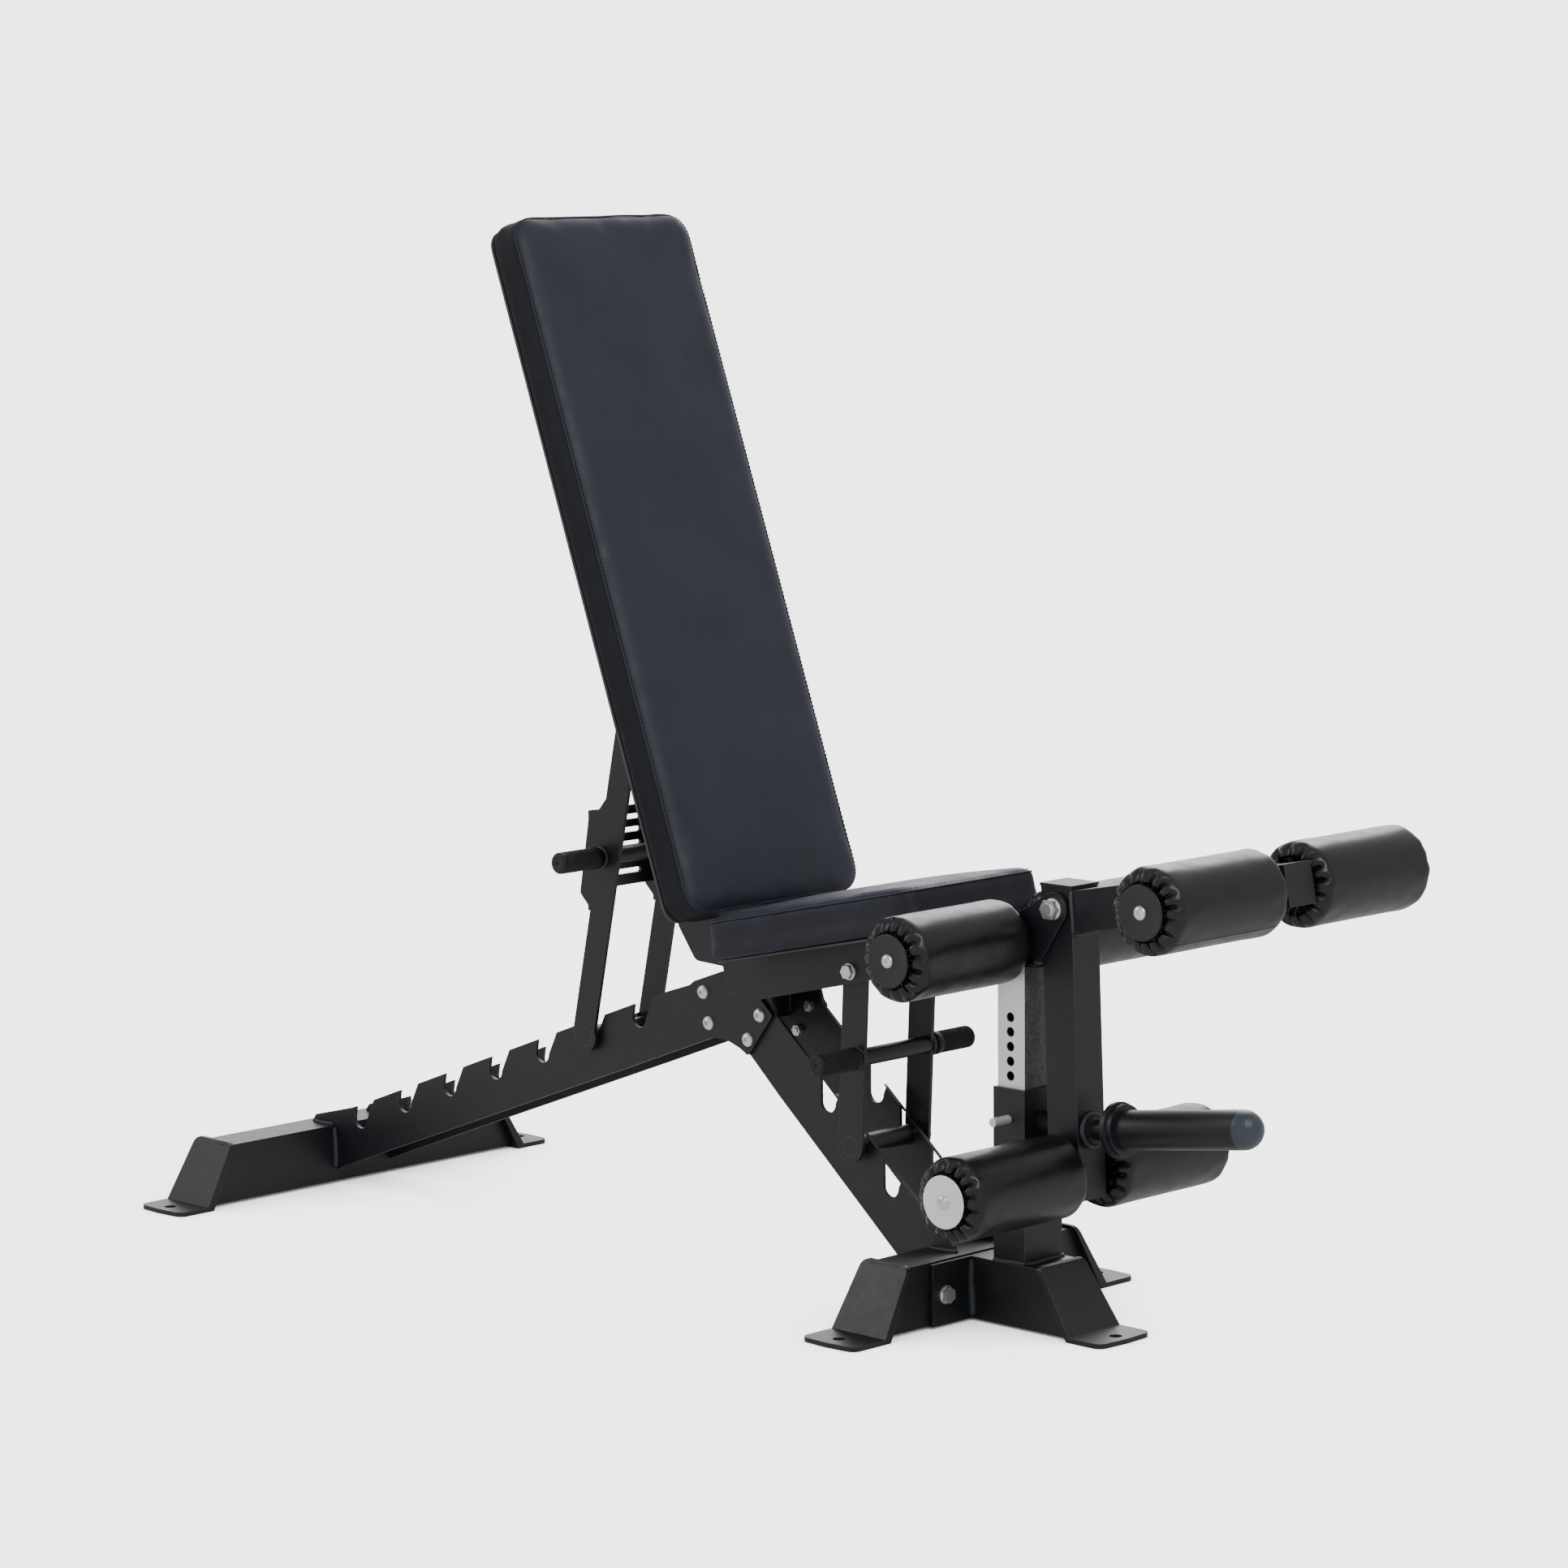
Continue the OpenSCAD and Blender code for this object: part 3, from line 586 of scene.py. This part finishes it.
def ribbed_grip(name, body, centre, side):
    """A rubber sleeve 68 mm long: 24 fine ribs of 0.6 mm, a plain collar at the inner
    end and a rounded outer end with a small vent hole in the middle."""
    ribs = 24
    a = np.linspace(0.009, 0.062, ribs * 6 + 1)
    wave = 0.0134 + 0.0006 * np.clip(1.6 * np.cos((a - 0.009) / 0.053 * ribs * 2 * math.pi), -1, 1)
    q = np.linspace(0, math.pi / 2, 7)
    along = np.concatenate([
        [0.0, 0.0, 0.0006, 0.007, 0.0076], a, 0.0635 + 0.0045 * np.sin(q),
        [0.0681, 0.0676, 0.0665, 0.0665]])
    radius = np.concatenate([
        [0.0112, 0.0140, 0.0146, 0.0146, 0.0140], wave, 0.0095 + 0.0045 * np.cos(q),
        [0.0026, 0.0022, 0.0020, 0.0003]])
    points = turned_points(along, radius, (centre[0], side * 0.070, centre[1]), (0, side, 0), 56)
    return grid_piece(name, points, RUBBER, body, close_columns=True)


for place, body in (("thigh", "leg_carriage"), ("low", "leg_arm"), ("fore", "leg_arm")):
    centre = ROLLERS[place][0]
    y_disc = 0.237 if place == "thigh" else 0.236
    for side, sign in (("near", -1), ("far", 1)):
        polished = place == "low" and side == "near"
        disc = end_disc(
            f"disc_{place}_{side}", body, centre, sign * y_disc, sign,
            BRIGHT if polished else PLASTIC)
        screw = socket_screw(f"screw_{place}_{side}", body, centre, sign * (y_disc + 0.002), sign)
        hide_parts("thigh_discs" if place == "thigh" else "arm_discs")
for body, centre in (("rear_prop", (0.616 - X_SHIFT, 0.512)), ("seat_prop", (1.076 - X_SHIFT, 0.307))):
    for side, sign in (("near", -1), ("far", 1)):
        grip = ribbed_grip(f"grip_{body}_{side}", body, centre, sign)
        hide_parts(body + "_grips")
print("discs, screws and grips made")

# %% [markdown]
# ## Weld beads
# A bead is a row of frozen drops. A tube whose radius swells and shrinks every two to
# three millimetres, sunk half into the corner between two plates, reads as a weld. The
# paint over it is a little greyer because it lies thin on the ripples.

# %% Weld beads


def bead(name, body, corners, radius_mm, ripple_mm=3.0, seed=0.0):
    """Tube along straight runs between corners: r = R (1 + 0.16 |sin| + slow drift),
    with its ends drawn in to a point."""
    corners = np.array(corners, float)
    gaps = np.linalg.norm(np.diff(corners, axis=0), axis=1)
    reach = np.concatenate([[0], np.cumsum(gaps)])
    count = max(int(reach[-1] / 0.0006), 12)
    s = np.linspace(0, reach[-1], count)
    path = np.stack([np.interp(s, reach, corners[:, k]) for k in range(3)], axis=1)
    wander = 0.0005 * np.sin(s[:, None] * np.array([90, 70, 110]) + np.array([seed, 2 * seed, 3]))
    drops = 1 + 0.2 * np.abs(np.sin(math.pi * s / (ripple_mm / 1000))) + 0.12 * np.sin(55 * s + seed)
    ends = np.sqrt(np.clip(np.minimum(s, reach[-1] - s) / (radius_mm / 1000), 0.02, 1))
    points = tube_points(path + wander, radius_mm / 1000 * drops * ends, 12)
    return grid_piece(name, points, WELD, body, close_columns=True, caps=True)


def at(x_mm, y_mm, z_mm):
    """Bench millimetres to frame metres."""
    return (x_mm / 1000 - X_SHIFT, y_mm / 1000, z_mm / 1000)


BEADS = []
for side, s in (("near", -1), ("far", 1)):
    BEADS.append((f"weld_ladder_{side}", "base", [at(61.5, s * 51.5, 22), at(61.5, s * 51.5, 80)], 3.4))
    BEADS.append((f"weld_ladder_top_{side}", "base", [at(58, s * 51.5, 83), at(15, s * 51.5, 82.5)], 2.4))
    BEADS.append((f"weld_leg_{side}", "base", [at(1176, s * 46.5, 24), at(1176, s * 46.5, 80)], 2.6))
    BEADS.append((f"weld_leg_top_{side}", "base", [at(1180, s * 46.5, 82.5), at(1226, s * 46.5, 82.5)], 2.6))
    BEADS.append((f"weld_stub_{side}", "base", [at(1243.5, s * 40.5, 5), at(1243.5, s * 40.5, 78)], 4.4))
    BEADS.append((f"weld_web_{side}", "base", [at(856.5, s * 40.5, 325), at(856.5, s * 40.5, 388)], 2.2))
    BEADS.append((f"weld_rear_foot_{side}", "base", [at(6, s * 241.5, 82.5), at(56, s * 241.5, 82.5)], 2.0))
    BEADS.append((f"weld_front_foot_{side}", "base", [at(1181, s * 154, 82.5), at(1232, s * 154, 82.5)], 2.0))
BEADS.append(("weld_post_foot", "base", [
    at(1273.5, -34.5, 80.5), at(1325, -34.5, 80.5), at(1325, 34.5, 80.5), at(1273.5, 34.5, 80.5),
    at(1273.5, -33, 80.5)], 2.8))
BEADS.append(("weld_extension_foot", "base", [at(1348.5, -36, 80.5), at(1348.5, 36, 80.5)], 2.0))
BEADS.append(("weld_arm_under", "leg_arm", [at(1393, -22, 490.5), at(1393, 22, 490.5)], 3.2))
BEADS.append(("weld_arm_side_near", "leg_arm", [at(1392.7, -24, 492), at(1390.8, -24, 542)], 2.2))
BEADS.append(("weld_arm_side_far", "leg_arm", [at(1392.7, 24, 492), at(1390.8, 24, 542)], 2.2))
for number, (name, body, corners, radius_mm) in enumerate(BEADS):
    bead(name, body, corners, radius_mm, seed=number * 1.7)
print("weld beads:", len(BEADS))

# %% [markdown]
# ## Ring welds
# Round bars are welded all the way round. The same frozen drops run along a circle, which
# joins its own start.

# %% Ring welds


def ring_bead(name, body, centre, axis, ring_mm, radius_mm):
    """A bead that closes on itself round a tube: the path is a circle about the axis."""
    axis = np.array(axis, float) / np.linalg.norm(axis)
    loop = turned_points([0.0], [ring_mm / 1000], centre, axis, 140)[0]
    s = np.linspace(0, 2 * math.pi * ring_mm, 140, endpoint=False)
    drops = 1 + 0.2 * np.abs(np.sin(math.pi * s / 2.8))
    points = tube_points(loop, radius_mm / 1000 * drops, 10, closed=True)
    return grid_piece(name, points, WELD, body, close_rows=True, close_columns=True)


HORN_TILT = math.radians(7.9)
HORN_AXIS = (math.cos(HORN_TILT), 0.0, math.sin(HORN_TILT))
ring_bead("weld_horn_root", "leg_arm", at(1404.5, 0, 252.2), HORN_AXIS, 19.5, 3.2)
for side, s in (("near", -1), ("far", 1)):
    ring_bead(f"weld_rear_handle_{side}", "rear_prop", at(616, s * 62.0, 512), (0, 1, 0), 12.0, 2.2)
    ring_bead(f"weld_seat_handle_{side}", "seat_prop", at(1076, s * 64.0, 307), (0, 1, 0), 12.0, 2.2)
print("ring welds made")

# %% [markdown]
# ## The stuffed pads
# A bench pad is foam glued to a board and pulled into a leatherette cover. The face is
# crowned, the edge rolls over to a seam, and the side below the seam is nearly straight.
# A closed shell is built from a rounded outline that shrinks along a profile. It is then
# blown up a little with a cloth simulation, so that the cover goes taut and pulls in
# between its corners, as the real one does.

# %% Pad shell


def outline(half_length, half_rear, half_front, inset, corner, count=420):
    """Points round a tapered rounded rectangle of corner radius corner, inset from its
    edge: a quarter circle at each corner, joined by straight runs, evenly spaced."""
    length = max(half_length - inset, 0.002)
    width = max(half_rear - inset, 0.0005)
    r = min(max(corner - inset, 0.004), length * 0.98, width * 0.98)
    q = np.linspace(0, math.pi / 2, 24)
    x = length - r
    y = width - r
    centres = [(x, y), (-x, y), (-x, -y), (x, -y)]
    arcs = [np.stack([cx + r * np.cos(q + k * math.pi / 2), cy + r * np.sin(q + k * math.pi / 2)], axis=1)
            for k, (cx, cy) in enumerate(centres)]
    loop = np.vstack(arcs + [arcs[0][:1]])
    reach = np.concatenate([[0], np.cumsum(np.linalg.norm(np.diff(loop, axis=0), axis=1))])
    even = np.linspace(0, reach[-1], count, endpoint=False)
    s = np.interp(even, reach, loop[:, 0])
    across = np.interp(even, reach, loop[:, 1])
    half = half_rear + (half_front - half_rear) * (s + half_length) / (2 * half_length)
    return s, across * np.maximum(half - inset, 0.0005) / width


def pad_shell(half_length, half_rear, half_front, profile, corner):
    """Stacks outlines along the profile of (inset, height) rows into an (m, n, 3) grid
    whose columns run round the pad: x along, y across, z out of the face."""
    rings = []
    for inset, height in profile:
        s, across = outline(half_length, half_rear, half_front, inset, corner)
        rings.append(np.stack([s, across, np.full_like(s, height)], axis=1))
    return np.array(rings)


def pad_profile(half_width, bottom, seam, crown, roll):
    """Underside from the middle outwards, up the side to the seam, over the roll, and in
    across the crowned face: height = seam + (crown - seam) sin, inset = roll (1 - cos)."""
    under = [(half_width * f, bottom) for f in (0.97, 0.7, 0.4, 0.15, 0.04)]
    side = [
        (0.0035, bottom), (0.0008, bottom + 0.004), (0.0, bottom + 0.4 * (seam - bottom)),
        (0.0006, seam - 0.002)]
    groove = [(0.0022, seam)]
    q = np.linspace(0.12, math.pi / 2, 9)
    shoulder = crown - 0.0065
    over = [(0.0010 + roll * (1 - math.cos(a)), seam + 0.001 + (shoulder - seam) * math.sin(a)) for a in q]
    f = np.linspace(0.16, 0.97, 9)
    face = [(roll + (half_width - roll) * x, shoulder + 0.0065 * math.sin(x * math.pi / 2)) for x in f]
    return under + side + groove + over + face


def swell(piece, cap_m, hold_below, voxel=0.0055, pressure=4.0):
    """Cloth pressure with no gravity for 20 frames. Each point then moves at most cap_m,
    and points below hold_below, which are glued to the board, stay where they were."""
    bpy.context.view_layer.objects.active = piece
    remesh = piece.modifiers.new("even mesh", "REMESH")
    remesh.mode = "VOXEL"
    remesh.voxel_size = voxel
    bake(piece)
    rest = vertices_of(piece.data)
    cloth = piece.modifiers.new("cover", "CLOTH")
    cloth.settings.use_pressure = True
    cloth.settings.uniform_pressure_force = pressure
    cloth.settings.quality = 5
    cloth.settings.mass = 0.35
    cloth.settings.tension_stiffness = 30
    cloth.settings.compression_stiffness = 30
    cloth.settings.effector_weights.gravity = 0.0
    cloth.collision_settings.use_collision = False
    for frame_number in range(1, 21):
        bpy.context.scene.frame_set(frame_number)
    bake(piece)
    bpy.context.scene.frame_set(1)
    moved = vertices_of(piece.data) - rest
    size = np.linalg.norm(moved, axis=1, keepdims=True)
    moved = moved * np.minimum(1.0, cap_m / np.maximum(size, 1e-9))
    moved = moved * smoothstep(rest[:, 2], hold_below, hold_below + 0.012)[:, None]
    result = rest + moved
    piece.data.vertices.foreach_set("co", result.ravel())
    piece.data.update()
    return result


def bake(piece):
    """Turns the piece's modifiers into plain mesh."""
    graph = bpy.context.evaluated_depsgraph_get()
    mesh = bpy.data.meshes.new_from_object(piece.evaluated_get(graph))
    old = piece.data
    piece.modifiers.clear()
    piece.data = mesh
    bpy.data.meshes.remove(old)


def vertices_of(mesh):
    """All vertex positions as an (n, 3) array."""
    flat = np.empty(len(mesh.vertices) * 3)
    mesh.vertices.foreach_get("co", flat)
    return flat.reshape(-1, 3)


def place_mesh(mesh, origin, along, across, out):
    """Maps pad coordinates (x along, y across, z out) to the frame."""
    local = vertices_of(mesh)
    basis = np.array([along, across, out], float)
    world_points = np.array(origin) + local @ basis
    mesh.vertices.foreach_set("co", world_points.ravel())
    mesh.update()


print("pad helpers ready")

# %% [markdown]
# ## Stitches and the seam
# The cover is sewn from a face and a side band, which meet at a seam with a thin lip and
# a row of stitches above it. They are added after the cloth step, because the even mesh
# of that step rubs out fine grooves. A stitch is a tiny capsule, and a whole row of them
# is worked out as one array.

# %% Stitches


def capsule_row(path, length, radius):
    """Short stitches along a closed path: each is a tube of 4 rings and 6 sides from one
    hole to the next. All of them are made as one array (stitch, ring, side, 3)."""
    step = np.roll(path, -1, axis=0) - path
    ahead = step / np.linalg.norm(step, axis=1, keepdims=True)
    helper = np.where(np.abs(ahead[:, 1:2]) < 0.8, [[0.0, 1.0, 0.0]], [[1.0, 0.0, 0.0]])
    a = np.cross(ahead, helper)
    a = a / np.linalg.norm(a, axis=1, keepdims=True)
    b = np.cross(ahead, a)
    t = np.linspace(0, 2 * math.pi, 6, endpoint=False)
    where = np.array([-0.5, -0.3, 0.3, 0.5]) * length
    thick = np.array([0.25, 1.0, 1.0, 0.25]) * radius
    ring = np.cos(t)[None, :, None] * a[:, None, :] + np.sin(t)[None, :, None] * b[:, None, :]
    return (path[:, None, None, :] + where[None, :, None, None] * ahead[:, None, None, :]
            + thick[None, :, None, None] * ring[:, None, :, :])


def stitch_piece(name, path, body):
    """One mesh of all the stitches in a row, with each stitch's two ends closed."""
    points = capsule_row(path, 0.0038, 0.00055)
    k, m, n, _ = points.shape
    base = np.arange(k)[:, None] * m * n
    i, j = np.meshgrid(np.arange(m - 1), np.arange(n), indexing="ij")
    j2 = (j + 1) % n
    quad = np.stack([i * n + j, (i + 1) * n + j, (i + 1) * n + j2, i * n + j2], -1).reshape(-1, 4)
    quads = (base[:, :, None] + quad[None]).reshape(-1, 4)
    first = base + np.arange(n)[None]
    last = base + (m - 1) * n + np.arange(n)[None, ::-1]
    mesh = bpy.data.meshes.new(name)
    mesh.from_pydata(points.reshape(-1, 3).tolist(), [], quads.tolist() + first.tolist() + last.tolist())
    return finish_mesh(name, mesh, THREAD, body)


def on_surface(path, points):
    """Moves each path point to the nearest surface point, smoothed along the path."""
    index = np.array([np.argmin(((points - p) ** 2).sum(axis=1)) for p in path])
    found = points[index]
    for _ in range(6):
        found = (np.roll(found, 1, axis=0) + 2 * found + np.roll(found, -1, axis=0)) / 4
    return found


print("seam helpers ready")

# %% [markdown]
# ## Backrest and seat
# Both pads hang on the same pivot. Their directions come from two angles: the backrest
# leans 20.1 degrees behind the vertical, the seat rises 12.3 degrees. Each pad is a shell
# that goes through the cloth step, is turned into place, and then gets its seam.

# %% Backrest and seat pads
PIVOT = np.array(at(868, 0, 430))
BACK_LEAN = math.radians(20.1)
SEAT_RISE = math.radians(12.3)
BACK_ALONG = (-math.sin(BACK_LEAN), 0.0, math.cos(BACK_LEAN))
BACK_OUT = (math.cos(BACK_LEAN), 0.0, math.sin(BACK_LEAN))
SEAT_ALONG = (math.cos(SEAT_RISE), 0.0, math.sin(SEAT_RISE))
SEAT_OUT = (-math.sin(SEAT_RISE), 0.0, math.cos(SEAT_RISE))
STITCH_PITCH = 0.0055


def make_pad(name, node_name, body, centre, along, out, sizes, profile, corner, cap, seam_height, band):
    """Shell, cloth, placing, then a piping cord in the seam and a row of stitches above.
    Faces below the seam get the band's finish, whose darker colour is painted shade."""
    half_length, half_rear, half_front = sizes
    shell = pad_shell(half_length, half_rear, half_front, profile, corner)
    pad = grid_piece(name, shell, LEATHERETTE, None, close_columns=True, caps=True)
    swell(pad, cap, profile[0][1] + 0.010)
    soften = pad.modifiers.new("soften", "SMOOTH")
    soften.factor = 0.5
    soften.iterations = 4
    smooth = pad.modifiers.new("smooth", "SUBSURF")
    smooth.levels = 1
    smooth.render_levels = 1
    bake(pad)
    pad.data.polygons.foreach_set("use_smooth", [True] * len(pad.data.polygons))
    pad.data.materials.clear()
    pad.data.materials.append(LEATHERETTE)
    pad.data.materials.append(band)
    below = [int(face.center[2] < seam_height) for face in pad.data.polygons]
    pad.data.polygons.foreach_set("material_index", below)
    skin = vertices_of(pad.data)
    rows = []
    for height, inset, count in ((seam_height, -0.0015, 520), (seam_height + 0.0035, 0.002, 0)):
        s, across = outline(half_length, half_rear, half_front, inset, corner, 1400)
        loop = np.stack([s, across, np.full_like(s, height)], axis=1)
        gap = np.linalg.norm(np.roll(loop, -1, axis=0) - loop, axis=1)
        reach = np.concatenate([[0], np.cumsum(gap)])
        count = count or int(reach[-1] / STITCH_PITCH)
        even = np.linspace(0, reach[-1], count, endpoint=False)
        ring = np.vstack([loop, loop[:1]])
        even_loop = np.stack([np.interp(even, reach, ring[:, k]) for k in range(3)], axis=1)
        near = skin[np.abs(skin[:, 2] - height) < 0.006]
        settled = on_surface(even_loop, near)
        settled[:, 2] = height
        rows.append(settled)
    basis = np.array([along, (0, 1, 0), out], float)
    place_mesh(pad.data, centre, along, (0, 1, 0), out)
    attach(pad, body)
    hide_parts(node_name)
    cord_path = np.array(centre) + rows[0] @ basis
    grid_piece(name + "_seam_lip", tube_points(cord_path, 0.0011, 8, closed=True), LEATHERETTE, body,
               close_rows=True, close_columns=True)
    stitch_piece(name + "_stitches", np.array(centre) + rows[1] @ basis, body)
    print(name, "points", len(skin), "stitches", len(rows[1]))
    return pad


back_centre = PIVOT + 0.4965 * np.array(BACK_ALONG)
make_pad("backrest_cushion", "back_pad", "backrest", back_centre, BACK_ALONG, BACK_OUT,
         (0.4625, 0.1568, 0.1568), pad_profile(0.156, -0.0218, 0.0215, 0.0325, 0.016),
         0.034, 0.0035, 0.0215, SHADED_SIDE_BAND)
seat_centre = PIVOT + 0.1950 * np.array(SEAT_ALONG)
make_pad("seat_cushion", "seat_pad", "seat", seat_centre, SEAT_ALONG, SEAT_OUT,
         (0.1680, 0.1570, 0.1236), pad_profile(0.123, -0.0192, 0.0290, 0.0385, 0.016),
         0.028, 0.0040, 0.0290, SHADED_SEAT_BAND)
